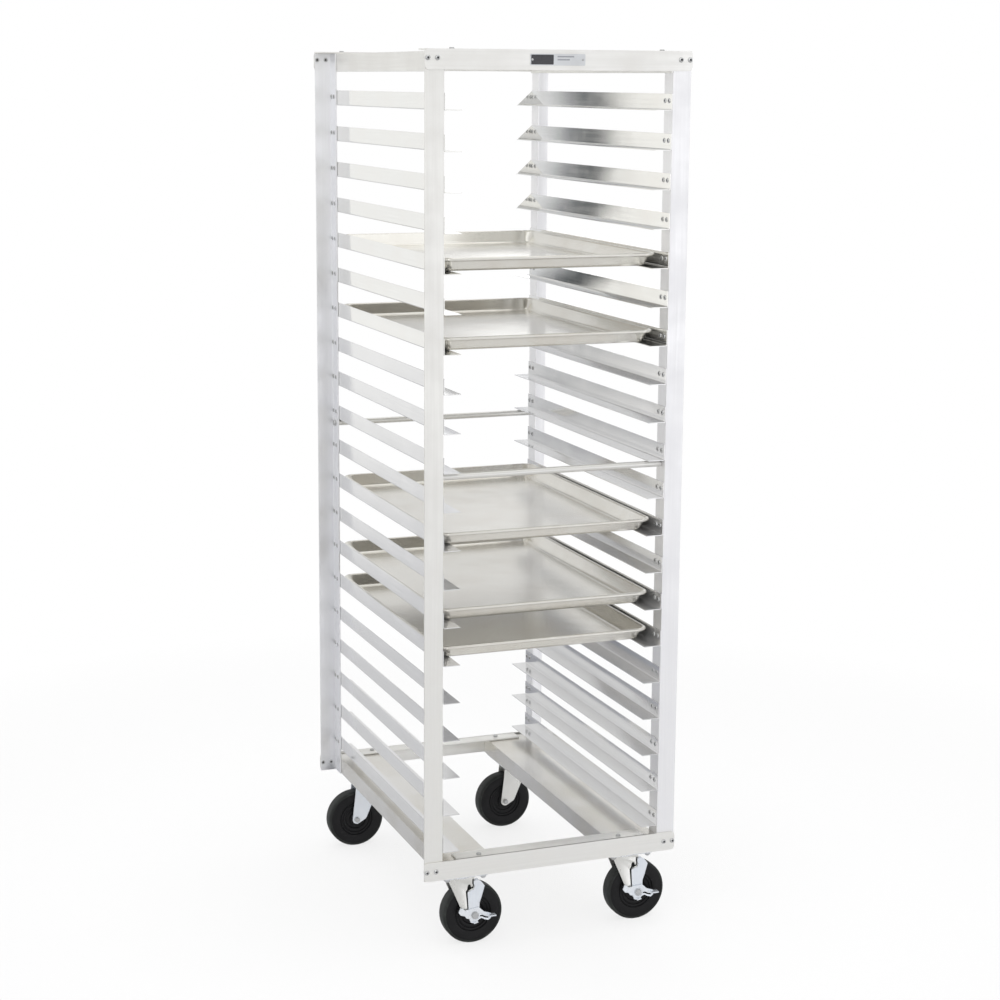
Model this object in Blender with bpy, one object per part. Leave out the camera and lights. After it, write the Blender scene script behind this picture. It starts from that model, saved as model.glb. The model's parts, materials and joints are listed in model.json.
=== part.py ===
"""End-load sheet pan rack: twenty pairs of angle slides between four angle posts, on swivel casters.

Metres, +Z up. The front, where the pans go in, faces -Y, and +X is on the right seen from the front.
The origin is on the floor under the middle of the rack. The product is made to inch sizes, so the
driving dimensions are written as multiples of INCH.
"""

import math

import bmesh
import bpy
from mathutils import Vector

INCH = 0.0254
GAP = 0.0003  # left between pieces that touch

# Frame
HALF_OPENING = 9.2 * INCH  # from the middle to the inner face of a post's side leg
RACK_DEPTH = 28.5 * INCH  # over the outer faces of the front and rear posts
RACK_HEIGHT = 70.0 * INCH
ANGLE_LEG = 1.5 * INCH  # both legs of the angle used for posts and rails
ANGLE_WALL = 0.125 * INCH
RAIL_OVERHANG = 0.04 * INCH  # how far a front or rear rail passes the posts on each side
RAIL_CORNER = 0.3 * INCH
BOTTOM_RAIL_TOP = 7.93 * INCH
BOTTOM_RAIL_HEIGHT = 1.53 * INCH
BOTTOM_RAIL_LEDGE_HALF = 8.0 * INCH  # half length of the leg that lies on the caster channels
TIE_ROD_DIAMETER = 0.5 * INCH
TIE_ROD_HEIGHT = 38.23 * INCH
TIE_ROD_INSET = 0.75 * INCH  # from the outer face of the posts

# Slides
LEVELS = 20
PITCH = 3.0 * INCH
TOP_SLIDE_HEIGHT = 66.83 * INCH  # upper edge of the highest slide
SLIDE_HEIGHT = 1.27 * INCH
SLIDE_LEDGE = 1.4 * INCH
SLIDE_WALL = 0.063 * INCH
SLIDES_PER_NODE = 2
STRIP_WIDTH = 1.2 * INCH  # strip behind each post that holds the slides of one node together
LEVELS_WITH_STOPS = 4  # the highest slides have a triangular stop at the rear

# Caster channels: C sections with their lips turned in, open side down
CHANNEL_WIDTH = 4.12 * INCH
CHANNEL_WALL = 0.11 * INCH
CHANNEL_LIP = 0.8 * INCH

# Casters
WHEEL_RADIUS = 2.5 * INCH
WHEEL_HALF_WIDTH = 0.625 * INCH
TRAIL = 1.15 * INCH  # from the swivel axis to the axle
CASTER_FROM_MIDDLE_X = 7.13 * INCH
CASTER_FROM_MIDDLE_Y = 11.9 * INCH
CASTER_PLATE_X = 3.9 * INCH
CASTER_PLATE_Y = 4.5 * INCH
CASTER_PLATE_WALL = 0.14 * INCH
CASTER_PLATE_CORNER = 0.4 * INCH
RACEWAY_RADIUS = 1.30 * INCH
RACEWAY_FOOT_RADIUS = 1.12 * INCH
RACEWAY_DEPTH = 0.30 * INCH
KINGPIN_RADIUS = 0.25 * INCH
KINGPIN_HEAD_RADIUS = 0.42 * INCH
KINGPIN_HEAD_TOP = 0.58 * INCH  # below the plate
KINGPIN_HEAD_BOTTOM = 0.72 * INCH
CROWN_RADIUS = 1.25 * INCH
CROWN_DROP = 0.33 * INCH  # from the plate to the crown of the fork
CROWN_WALL = 0.15 * INCH
AXLE_RADIUS = 0.1875 * INCH
AXLE_HEAD_RADIUS = 0.34 * INCH
AXLE_HEAD_HEIGHT = 0.22 * INCH
AXLE_NUT_HEIGHT = 0.28 * INCH
WEB_SHARE = 0.72  # the wheel's web is this much as wide as its hub and rim
FORK_WALL = 0.12 * INCH
LEG_INNER_FACE = 0.68 * INCH  # from the middle of the wheel
BLADE_HALF_TOP = 1.15 * INCH  # half width of a fork leg at the crown
BLADE_EYE_RADIUS = 0.4 * INCH
BLADE_HEEL_BACK = 0.91 * INCH  # from the axle back to the corner where the leg turns to the eye
BLADE_HEEL_UP = 0.15 * INCH
BLADE_EYE_BACK = 0.80 * INCH
BLADE_EYE_START = 245  # degrees, where the round end begins
BLADE_EYE_SWEEP = 115
BRAKE_WALL = 0.1 * INCH  # of the brake's arm and of its lever

# Pans: level numbers count from the top, 0 to 19
PAN_WIDTH = 17.875 * INCH
PAN_DEPTH = 25.875 * INCH
PAN_HEIGHT = 1.06 * INCH
PAN_CORNER = 1.0 * INCH
PAN_SHEET = 0.05 * INCH
PAN_FOOT = 0.80 * INCH  # from the rim's outer edge in to the foot of the wall
PAN_RIM_WIDTH = 0.31 * INCH
PAN_RIM_HEIGHT = 0.20 * INCH
PAN_RIM_ROUND = 0.07 * INCH
PAN_SETBACK = {4: 0.05 * INCH, 6: 0.25 * INCH, 11: 0.05 * INCH, 13: 0.2 * INCH, 14: 0.2 * INCH}

WHEEL_SEGMENTS = 32
PIN_SEGMENTS = 16

FRONT = -1
REAR = 1
LEFT = -1
RIGHT = 1
END_NAME = {FRONT: "front", REAR: "rear"}
SIDE_NAME = {LEFT: "left", RIGHT: "right"}


# ---------------------------------------------------------------- helpers


def clear_scene():
    for obj in list(bpy.data.objects):
        bpy.data.objects.remove(obj)


def make_material(name, colour, roughness, metallic):
    material = bpy.data.materials.new(name)
    material.use_nodes = True
    shader = material.node_tree.nodes["Principled BSDF"]
    shader.inputs["Base Color"].default_value = (*colour, 1.0)
    shader.inputs["Roughness"].default_value = roughness
    shader.inputs["Metallic"].default_value = metallic
    return material


def add_object(name, mesh_builder, material, location=(0, 0, 0), parent=None, smooth=False):
    """Links an object made from a bmesh, with its faces turned outwards."""
    bmesh.ops.recalc_face_normals(mesh_builder, faces=mesh_builder.faces)
    mesh = bpy.data.meshes.new(name)
    mesh_builder.to_mesh(mesh)
    mesh_builder.free()
    mesh.materials.append(material)
    if smooth:
        mesh.shade_smooth()
        mesh.set_sharp_from_angle(angle=math.radians(35))
    obj = bpy.data.objects.new(name, mesh)
    obj.location = location
    obj.parent = parent
    bpy.context.scene.collection.objects.link(obj)
    return obj


def combine(target, other, operation):
    """Adds the other object to the target, or cuts it away, and hides the other."""
    other.hide_render = True
    other.display_type = "WIRE"
    modifier = target.modifiers.new(other.name, "BOOLEAN")
    modifier.operation = operation
    modifier.object = other


def box_between(low, high):
    builder = bmesh.new()
    made = bmesh.ops.create_cube(builder, size=1.0)
    low = Vector(low)
    high = Vector(high)
    for vertex in made["verts"]:
        vertex.co = (low + high) / 2 + vertex.co * (high - low)
    return builder


def prism(outline, axis, start, end):
    """Extrudes an outline along an axis. Its points hold the other two coordinates, in X, Y, Z order."""
    builder = bmesh.new()
    vertices = []
    for first, second in outline:
        point = [first, second]
        point.insert("XYZ".index(axis), start)
        vertices.append(builder.verts.new(point))
    face = builder.faces.new(vertices)
    made = bmesh.ops.extrude_face_region(builder, geom=[face])
    shift = [0.0, 0.0, 0.0]
    shift["XYZ".index(axis)] = end - start
    moved = [item for item in made["geom"] if isinstance(item, bmesh.types.BMVert)]
    bmesh.ops.translate(builder, verts=moved, vec=shift)
    return builder


def turned(profile, segments, ring=False):
    """Turns (radius, height) points about Z. A ring's profile closes on itself, others get flat ends."""
    builder = bmesh.new()
    loops = []
    for radius, height in profile:
        loop = []
        for step in range(segments):
            angle = 2 * math.pi * step / segments
            place = (radius * math.cos(angle), radius * math.sin(angle), height)
            loop.append(builder.verts.new(place))
        loops.append(loop)
    bridges = list(zip(loops, loops[1:]))
    if ring:
        bridges.append((loops[-1], loops[0]))
    else:
        builder.faces.new(loops[0])
        builder.faces.new(loops[-1])
    for lower, upper in bridges:
        for step in range(segments):
            after = (step + 1) % segments
            builder.faces.new((lower[step], lower[after], upper[after], upper[step]))
    return builder


def solid_of_boxes(boxes):
    """One closed shell around boxes that touch face to face or overlap."""
    cuts = []
    for axis in range(3):
        cuts.append(sorted({round(corner[axis], 7) for box in boxes for corner in box}))

    def is_filled(cell):
        middle = []
        for axis, index in enumerate(cell):
            if not 0 <= index < len(cuts[axis]) - 1:
                return False
            middle.append((cuts[axis][index] + cuts[axis][index + 1]) / 2)
        return any(all(lo < m < hi for lo, m, hi in zip(low, middle, high)) for low, high in boxes)

    builder = bmesh.new()
    vertices = {}

    def vertex_at(index):
        if index not in vertices:
            vertices[index] = builder.verts.new([cuts[axis][index[axis]] for axis in range(3)])
        return vertices[index]

    for i in range(len(cuts[0]) - 1):
        for j in range(len(cuts[1]) - 1):
            for k in range(len(cuts[2]) - 1):
                cell = (i, j, k)
                if not is_filled(cell):
                    continue
                for axis in range(3):
                    for step in (0, 1):
                        neighbour = list(cell)
                        neighbour[axis] += 2 * step - 1
                        if is_filled(neighbour):
                            continue
                        corners = []
                        for along, across in ((0, 0), (1, 0), (1, 1), (0, 1)):
                            index = list(cell)
                            index[axis] += step
                            index[(axis + 1) % 3] += along
                            index[(axis + 2) % 3] += across
                            corners.append(vertex_at(tuple(index)))
                        builder.faces.new(corners)
    flat = math.radians(0.1)
    bmesh.ops.dissolve_limit(builder, angle_limit=flat, verts=builder.verts, edges=builder.edges)
    return builder


def rounded_rectangle(half_x, half_y, radius, steps):
    """Outline points of a rectangle about the origin with round corners."""
    points = []
    for quarter, (sign_x, sign_y) in enumerate(((1, 1), (-1, 1), (-1, -1), (1, -1))):
        for step in range(steps + 1):
            angle = math.pi / 2 * (quarter + step / steps)
            x = sign_x * (half_x - radius) + radius * math.cos(angle)
            y = sign_y * (half_y - radius) + radius * math.sin(angle)
            points.append((x, y))
    return points


# ---------------------------------------------------------------- frame


def angle_outline(leg, wall):
    """An L with its outer corner at the origin."""
    return [(0, 0), (leg, 0), (leg, wall), (wall, wall), (wall, leg), (0, leg)]


def add_posts(material):
    """The corner of each angle is at the opening: one leg takes the slides, the other faces out."""
    bottom = BOTTOM_RAIL_TOP - BOTTOM_RAIL_HEIGHT
    top = RACK_HEIGHT - ANGLE_WALL - GAP
    for end in (FRONT, REAR):
        for side in (LEFT, RIGHT):
            outline = []
            for outward, inward in angle_outline(ANGLE_LEG, ANGLE_WALL):
                outline.append((side * (HALF_OPENING + outward), end * (RACK_DEPTH / 2 - inward)))
            name = f"post_{END_NAME[end]}_{SIDE_NAME[side]}"
            add_object(name, prism(outline, "Z", bottom, top), material)


def add_cross_rail(name, end, top, height, ledge_half, material):
    """An angle across the rack: an upright leg on the posts' faces and a flat leg pointing inwards."""
    half_length = HALF_OPENING + ANGLE_LEG + RAIL_OVERHANG
    near = end * (RACK_DEPTH / 2 + GAP)
    far = end * (RACK_DEPTH / 2 + GAP + ANGLE_WALL)
    outline = []
    for x, z in rounded_rectangle(half_length, height / 2, RAIL_CORNER, 4):
        outline.append((x, z + top - height / 2))
    upright = add_object(name, prism(outline, "Y", near, far), material)
    # The flat leg starts inside the upright one, so that the two make one body.
    start = end * (RACK_DEPTH / 2 + GAP + ANGLE_WALL / 2)
    stop = end * (RACK_DEPTH / 2 + GAP + ANGLE_WALL - ANGLE_LEG)
    low = (-ledge_half, min(start, stop), top - ANGLE_WALL)
    high = (ledge_half, max(start, stop), top - ANGLE_WALL / 100)
    ledge = add_object(name + "_flat_leg", box_between(low, high), material)
    combine(upright, ledge, "UNION")


def add_side_top_rails(material):
    """The upright leg lies against the inner faces of the posts, under the cross rails' flat legs."""
    top = RACK_HEIGHT - ANGLE_WALL - GAP
    half_length = RACK_DEPTH / 2 - GAP
    for side in (LEFT, RIGHT):
        outline = []
        for inward, down in angle_outline(ANGLE_LEG, ANGLE_WALL):
            outline.append((side * (HALF_OPENING - GAP - inward), top - down))
        name = f"top_rail_{SIDE_NAME[side]}"
        add_object(name, prism(outline, "Y", -half_length, half_length), material)


def add_caster_channels(material):
    top = BOTTOM_RAIL_TOP - ANGLE_WALL - GAP
    bottom = BOTTOM_RAIL_TOP - BOTTOM_RAIL_HEIGHT
    half_length = RACK_DEPTH / 2 - GAP
    width = CHANNEL_WIDTH
    wall = CHANNEL_WALL
    lip = CHANNEL_LIP
    section = [(0, top), (width, top), (width, bottom), (width - lip, bottom)]
    section += [(width - lip, bottom + wall), (width - wall, bottom + wall), (width - wall, top - wall)]
    section += [(wall, top - wall), (wall, bottom + wall), (lip, bottom + wall), (lip, bottom), (0, bottom)]
    for side in (LEFT, RIGHT):
        outline = [(side * (HALF_OPENING - GAP - inward), z) for inward, z in section]
        name = f"caster_channel_{SIDE_NAME[side]}"
        add_object(name, prism(outline, "Y", -half_length, half_length), material)


def add_tie_rods(material):
    half_length = HALF_OPENING - GAP
    radius = TIE_ROD_DIAMETER / 2
    for end in (FRONT, REAR):
        profile = [(radius, -half_length), (radius, half_length)]
        rod = add_object(f"tie_rod_{END_NAME[end]}", turned(profile, PIN_SEGMENTS), material, smooth=True)
        rod.rotation_euler = (0, math.pi / 2, 0)
        rod.location = (0, end * (RACK_DEPTH / 2 - TIE_ROD_INSET), TIE_ROD_HEIGHT)


def add_nameplate(material):
    half_width = 2.2 * INCH
    half_height = 0.42 * INCH
    thickness = 0.03 * INCH
    face = -(RACK_DEPTH / 2 + GAP + ANGLE_WALL)
    middle = Vector((-0.34 * INCH, face - GAP, RACK_HEIGHT - 0.73 * INCH))
    outline = rounded_rectangle(half_width, half_height, 0.08 * INCH, 2)
    add_object("nameplate", prism(outline, "Y", -thickness, 0), material, location=middle)


# ---------------------------------------------------------------- slides


def slide_top(level):
    return TOP_SLIDE_HEIGHT - level * PITCH


def slide_boxes(side, level):
    """The upright and the flat leg of one slide, as (low, high) corners."""
    depth = RACK_DEPTH / 2
    bottom = slide_top(level) - SLIDE_HEIGHT
    boxes = []
    for reach, top in ((SLIDE_WALL, slide_top(level)), (SLIDE_LEDGE, bottom + SLIDE_WALL)):
        ends = sorted((side * (HALF_OPENING - GAP), side * (HALF_OPENING - GAP - reach)))
        boxes.append(((ends[0], -depth, bottom), (ends[1], depth, top)))
    return boxes


def strip_boxes(side, upper_level):
    """The strips behind the front and rear post that hold a slide to the one below it."""
    ends = sorted((side * (HALF_OPENING - GAP), side * (HALF_OPENING - GAP - SLIDE_WALL)))
    low_z = slide_top(upper_level + 1)
    high_z = slide_top(upper_level) - SLIDE_HEIGHT
    boxes = []
    for end in (FRONT, REAR):
        depths = sorted((end * RACK_DEPTH / 2, end * (RACK_DEPTH / 2 - STRIP_WIDTH)))
        boxes.append(((ends[0], depths[0], low_z), (ends[1], depths[1], high_z)))
    return boxes


def add_rear_stop(slides, side, level, material):
    """A triangle across the rear end of a slide. It reaches into both legs, so that they are one body."""
    overlap = SLIDE_WALL / 2
    outer = HALF_OPENING - GAP - overlap
    inner = HALF_OPENING - GAP - SLIDE_LEDGE + overlap
    bottom = slide_top(level) - SLIDE_HEIGHT + overlap
    top = slide_top(level) - overlap
    outline = [(side * outer, bottom), (side * inner, bottom), (side * outer, top)]
    rear = RACK_DEPTH / 2 - overlap
    name = f"{slides.name}_stop_{level}"
    combine(slides, add_object(name, prism(outline, "Y", rear - SLIDE_WALL, rear), material), "UNION")


def add_slides(material):
    """Each level has a slide on both sides. Two levels share one object, held by strips at the posts."""
    for side in (LEFT, RIGHT):
        for first in range(0, LEVELS, SLIDES_PER_NODE):
            levels = range(first, first + SLIDES_PER_NODE)
            boxes = []
            for level in levels:
                boxes += slide_boxes(side, level)
            for level in levels[:-1]:
                boxes += strip_boxes(side, level)
            name = f"slides_{SIDE_NAME[side]}_{levels[0] + 1:02d}_{levels[-1] + 1:02d}"
            slides = add_object(name, solid_of_boxes(boxes), material)
            for level in levels:
                if level < LEVELS_WITH_STOPS:
                    add_rear_stop(slides, side, level, material)


# ---------------------------------------------------------------- pans


def pan_builder():
    """A pan with sloped walls and a rolled rim, its underside at z = 0."""
    underside = PAN_HEIGHT - PAN_RIM_HEIGHT - PAN_RIM_ROUND
    bevel = 0.06 * INCH
    # Distance in from the rim's outer edge, and height: up the outside, over the rim, down the inside
    section = [
        (PAN_FOOT, 0.0),
        (PAN_RIM_WIDTH + PAN_SHEET, underside),
        (bevel, underside),
        (0.0, PAN_HEIGHT - PAN_RIM_HEIGHT),
        (0.0, PAN_HEIGHT - PAN_RIM_ROUND),
        (bevel, PAN_HEIGHT),
        (PAN_RIM_WIDTH - bevel, PAN_HEIGHT),
        (PAN_RIM_WIDTH, PAN_HEIGHT - PAN_RIM_ROUND),
        (PAN_FOOT + PAN_SHEET / 2, PAN_SHEET),
    ]
    steps = 4
    builder = bmesh.new()
    loops = []
    for inset, height in section:
        radius = max(PAN_CORNER - inset, 0.4 * INCH)
        outline = rounded_rectangle(PAN_WIDTH / 2 - inset, PAN_DEPTH / 2 - inset, radius, steps)
        loops.append([builder.verts.new((x, y, height)) for x, y in outline])
    for lower, upper in zip(loops, loops[1:]):
        for index in range(len(lower)):
            after = (index + 1) % len(lower)
            builder.faces.new((lower[index], lower[after], upper[after], upper[index]))
    builder.faces.new(loops[0])
    builder.faces.new(loops[-1])
    return builder


def add_pans(material):
    for level, setback in PAN_SETBACK.items():
        rest = slide_top(level) - SLIDE_HEIGHT + SLIDE_WALL + GAP
        name = f"pan_level_{level + 1:02d}"
        add_object(name, pan_builder(), material, location=(0, setback, rest))


# ---------------------------------------------------------------- casters


def caster_plate(name, location, material):
    """The bolted plate with its raceway and the kingpin that the fork turns on."""
    top = BOTTOM_RAIL_TOP - BOTTOM_RAIL_HEIGHT - GAP
    bottom = top - CASTER_PLATE_WALL
    outline = rounded_rectangle(CASTER_PLATE_X / 2, CASTER_PLATE_Y / 2, CASTER_PLATE_CORNER, 3)
    plate = add_object(name, prism(outline, "Z", bottom, top), material, location=location)
    profile = [
        (RACEWAY_RADIUS, bottom + CASTER_PLATE_WALL / 2),
        (RACEWAY_RADIUS, bottom - 0.4 * RACEWAY_DEPTH),
        (RACEWAY_FOOT_RADIUS, bottom - RACEWAY_DEPTH),
        (KINGPIN_RADIUS, bottom - RACEWAY_DEPTH),
        (KINGPIN_RADIUS, bottom - KINGPIN_HEAD_TOP + 0.02 * INCH),
        (KINGPIN_HEAD_RADIUS, bottom - KINGPIN_HEAD_TOP),
        (KINGPIN_HEAD_RADIUS, bottom - KINGPIN_HEAD_BOTTOM),
    ]
    raceway = add_object(name + "_raceway", turned(profile, PIN_SEGMENTS), material, location=location)
    combine(plate, raceway, "UNION")
    return plate


def blade_outline(top):
    """A fork leg: it tapers from the crown to a heel and a round end about the axle."""
    steps = 6
    outline = [(BLADE_HALF_TOP, top), (-BLADE_HALF_TOP, top)]
    outline.append((TRAIL - BLADE_HEEL_BACK, WHEEL_RADIUS + BLADE_HEEL_UP))
    outline.append((TRAIL - BLADE_EYE_BACK, WHEEL_RADIUS))
    for step in range(steps + 1):
        angle = math.radians(BLADE_EYE_START + BLADE_EYE_SWEEP * step / steps)
        x = TRAIL + BLADE_EYE_RADIUS * math.cos(angle)
        outline.append((x, WHEEL_RADIUS + BLADE_EYE_RADIUS * math.sin(angle)))
    return outline


def caster_fork(name, pivot, material):
    crown_top = BOTTOM_RAIL_TOP - BOTTOM_RAIL_HEIGHT - CASTER_PLATE_WALL - CROWN_DROP
    crown_bottom = crown_top - CROWN_WALL
    hole = KINGPIN_RADIUS + GAP
    rim = CROWN_RADIUS
    profile = [(hole, crown_top), (rim, crown_top), (rim, crown_bottom), (hole, crown_bottom)]
    crown = add_object(name, turned(profile, PIN_SEGMENTS * 2, ring=True), material, parent=pivot)
    outline = blade_outline(crown_top - 0.04 * INCH)
    for facing in (-1, 1):
        inner = facing * LEG_INNER_FACE
        outer = facing * (LEG_INNER_FACE + FORK_WALL)
        leg = add_object(f"{name}_leg_{facing}", prism(outline, "Y", inner, outer), material, parent=pivot)
        combine(crown, leg, "UNION")
    combine(crown, axle_hole(name + "_axle_hole", pivot, material), "DIFFERENCE")
    return crown


def axle_hole(name, pivot, material):
    """A cutter a little wider than the axle."""
    half_length = 2 * LEG_INNER_FACE
    radius = AXLE_RADIUS + GAP
    cutter = add_object(name, turned([(radius, -half_length), (radius, half_length)], PIN_SEGMENTS), material)
    cutter.parent = pivot
    cutter.rotation_euler = (math.pi / 2, 0, 0)
    cutter.location = (TRAIL, 0, WHEEL_RADIUS)
    return cutter


def caster_wheel(name, pivot, material):
    bore = AXLE_RADIUS + GAP
    half = WHEEL_HALF_WIDTH
    profile = [
        (bore, -half),
        (0.62 * INCH, -half),
        (0.75 * INCH, -half * WEB_SHARE),
        (1.55 * INCH, -half * WEB_SHARE),
        (1.70 * INCH, -half),
        (WHEEL_RADIUS - 0.16 * INCH, -half),
        (WHEEL_RADIUS, -half * 0.62),
    ]
    profile += [(radius, -height) for radius, height in reversed(profile)]
    wheel = add_object(name, turned(profile, WHEEL_SEGMENTS, ring=True), material, parent=pivot, smooth=True)
    wheel.rotation_euler = (math.pi / 2, 0, 0)
    wheel.location = (TRAIL, 0, WHEEL_RADIUS)
    return wheel


def caster_axle(name, pivot, brake_stack, material):
    """Bolt head, shank and nut on one axis. A brake sits between the head and the fork."""
    outer = LEG_INNER_FACE + FORK_WALL + GAP
    head = outer + brake_stack
    profile = [
        (AXLE_HEAD_RADIUS, -outer - AXLE_NUT_HEIGHT),
        (AXLE_HEAD_RADIUS, -outer),
        (AXLE_RADIUS, -outer),
        (AXLE_RADIUS, head),
        (AXLE_HEAD_RADIUS, head),
        (AXLE_HEAD_RADIUS, head + AXLE_HEAD_HEIGHT),
    ]
    axle = add_object(name, turned(profile, PIN_SEGMENTS), material, parent=pivot, smooth=True)
    axle.rotation_euler = (math.pi / 2, 0, 0)
    axle.location = (TRAIL, 0, WHEEL_RADIUS)
    return axle


def outline_about_axle(offsets):
    """Outline points from (right, up) offsets in inches from the axle."""
    return [(TRAIL + right * INCH, WHEEL_RADIUS + up * INCH) for right, up in offsets]


def brake_arm(name, pivot, inner, material):
    """A plate beside the fork, from the axle up to a hook and a shoe over the tread."""
    offsets = [(-0.42, -0.42), (0.42, -0.42), (0.44, 0.95), (0.62, 1.45), (0.87, 2.33), (0.52, 2.78)]
    offsets += [(0.30, 2.9), (-0.06, 2.84), (-0.06, 2.55), (0.03, 2.42), (-0.06, 2.12), (-0.29, 2.08)]
    offsets += [(-0.58, 1.93)]
    arm = add_object(name, prism(outline_about_axle(offsets), "Y", -inner - BRAKE_WALL, -inner), material)
    arm.parent = pivot
    low = (TRAIL + 0.22 * INCH, -inner - BRAKE_WALL / 2, WHEEL_RADIUS + 2.62 * INCH)
    high = (TRAIL + 0.52 * INCH, -0.1 * INCH, WHEEL_RADIUS + 2.74 * INCH)
    shoe = add_object(name + "_shoe", box_between(low, high), material, parent=pivot)
    combine(arm, shoe, "UNION")
    combine(arm, axle_hole(name + "_hole", pivot, material), "DIFFERENCE")
    return arm


def brake_lever(name, pivot, inner, material):
    """A foot lever on the axle: a round lobe on the left, a wavy pedal on the right and a short foot."""
    offsets = [(-1.05, 0.68), (-1.23, 0.70), (-1.37, 0.37), (-1.18, 0.11), (-0.86, 0.03), (-0.68, -0.21)]
    offsets += [(-0.45, -0.26), (-0.35, -0.58), (-0.14, -0.66), (0.2, -0.53), (0.36, -0.39), (0.57, -0.31)]
    offsets += [(0.84, -0.46), (1.14, -0.56), (1.35, -0.41), (1.43, -0.13), (1.32, 0.02), (0.77, 0.21)]
    offsets += [(0.52, 0.45), (0.35, 0.61), (-0.41, 0.55), (-0.82, 0.47)]
    plate = add_object(name, prism(outline_about_axle(offsets), "Y", -inner - BRAKE_WALL, -inner), material)
    plate.parent = pivot
    low = (TRAIL + 1.1 * INCH, -inner - 0.5 * INCH, WHEEL_RADIUS - 0.14 * INCH)
    high = (TRAIL + 1.68 * INCH, -inner - BRAKE_WALL / 2, WHEEL_RADIUS - 0.04 * INCH)
    tread = add_object(name + "_tread", box_between(low, high), material, parent=pivot)
    combine(plate, tread, "UNION")
    combine(plate, axle_hole(name + "_hole", pivot, material), "DIFFERENCE")
    return plate


def add_casters(zinc, rubber):
    """The front pair trails to the right and has brakes, the rear pair trails to the left."""
    fork_face = LEG_INNER_FACE + FORK_WALL + GAP
    for end in (FRONT, REAR):
        for side in (LEFT, RIGHT):
            place = Vector((side * CASTER_FROM_MIDDLE_X, end * CASTER_FROM_MIDDLE_Y, 0))
            name = f"caster_{END_NAME[end]}_{SIDE_NAME[side]}"
            caster_plate(name + "_plate", place, zinc)
            pivot = bpy.data.objects.new(name + "_pivot", None)
            bpy.context.scene.collection.objects.link(pivot)
            pivot.location = place
            pivot.rotation_euler = (0, 0, 0 if end == FRONT else math.pi)
            caster_fork(name + "_fork", pivot, zinc)
            caster_wheel(name + "_wheel", pivot, rubber)
            brake_stack = 2 * BRAKE_WALL + 3 * GAP if end == FRONT else 0
            caster_axle(name + "_axle", pivot, brake_stack, zinc)
            if end == FRONT:
                brake_arm(name + "_brake_arm", pivot, fork_face, zinc)
                brake_lever(name + "_brake_lever", pivot, fork_face + BRAKE_WALL + GAP, zinc)


def build():
    clear_scene()
    aluminium = make_material("aluminium", (0.80, 0.80, 0.78), 0.38, 0.9)
    slide_sheet = make_material("slide_aluminium", (0.76, 0.77, 0.79), 0.28, 0.95)
    pan_sheet = make_material("pan_aluminium", (0.78, 0.77, 0.74), 0.42, 0.8)
    zinc = make_material("zinc_plate", (0.72, 0.77, 0.83), 0.3, 0.9)
    rubber = make_material("wheel_rubber", (0.02, 0.02, 0.022), 0.6, 0.0)
    plate_print = make_material("nameplate", (0.45, 0.47, 0.5), 0.35, 0.6)

    full_half = HALF_OPENING + ANGLE_LEG
    add_posts(aluminium)
    for end in (FRONT, REAR):
        add_cross_rail(f"top_rail_{END_NAME[end]}", end, RACK_HEIGHT, ANGLE_LEG, full_half, aluminium)
        add_cross_rail(
            f"bottom_rail_{END_NAME[end]}",
            end,
            BOTTOM_RAIL_TOP,
            BOTTOM_RAIL_HEIGHT,
            BOTTOM_RAIL_LEDGE_HALF,
            aluminium,
        )
    add_side_top_rails(aluminium)
    add_caster_channels(aluminium)
    add_tie_rods(aluminium)
    add_nameplate(plate_print)
    add_slides(slide_sheet)
    add_pans(pan_sheet)
    add_casters(zinc, rubber)


build()
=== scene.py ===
import json
import math

import bmesh
import bpy
from mathutils import Matrix, Vector


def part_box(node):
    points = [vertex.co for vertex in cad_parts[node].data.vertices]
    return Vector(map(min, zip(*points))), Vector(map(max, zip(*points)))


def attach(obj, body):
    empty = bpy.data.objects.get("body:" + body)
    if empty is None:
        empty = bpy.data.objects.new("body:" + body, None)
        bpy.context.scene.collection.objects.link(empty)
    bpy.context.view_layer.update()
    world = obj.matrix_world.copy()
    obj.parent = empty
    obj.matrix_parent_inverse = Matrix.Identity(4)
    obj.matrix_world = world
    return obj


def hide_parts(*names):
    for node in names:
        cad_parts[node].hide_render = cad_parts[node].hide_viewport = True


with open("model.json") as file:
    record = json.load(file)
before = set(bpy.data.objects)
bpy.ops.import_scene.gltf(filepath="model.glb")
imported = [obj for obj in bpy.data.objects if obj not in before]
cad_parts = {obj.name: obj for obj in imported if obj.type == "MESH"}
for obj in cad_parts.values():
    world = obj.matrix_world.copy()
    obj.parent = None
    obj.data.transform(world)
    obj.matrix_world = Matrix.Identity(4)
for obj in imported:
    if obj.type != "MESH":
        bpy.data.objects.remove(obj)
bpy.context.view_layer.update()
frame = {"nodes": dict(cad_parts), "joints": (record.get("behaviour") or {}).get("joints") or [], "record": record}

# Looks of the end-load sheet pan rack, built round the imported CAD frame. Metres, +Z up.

INCH = 0.0254
FRONT = -1
REAR = 1
LEFT = -1
RIGHT = 1
END_NAME = {FRONT: "front", REAR: "rear"}
SIDE_NAME = {LEFT: "left", RIGHT: "right"}

# Slides
LEVELS = 20
PITCH = 3.0 * INCH
SLIDE_HEIGHT = 1.27 * INCH
SLIDE_WALL = 0.063 * INCH
SLIDE_BEND = 0.13 * INCH  # outer radius of the fold
LEVELS_WITH_STOPS = 4
STOP_CORNER = 0.05 * INCH
SLIDE_EDGE = 0.00025
LEVELS_SMOOTH_UNSHADED = 7  # the levels below these have a rougher finish and a colour with painted darker, bluer shade
RIVET_DROP = 0.54 * INCH  # below the slide's upper edge
RIVETS_FROM_FRONT = (0.5 * INCH, 1.2 * INCH)
RIVETS_FROM_REAR = (0.33 * INCH, 1.04 * INCH)

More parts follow.
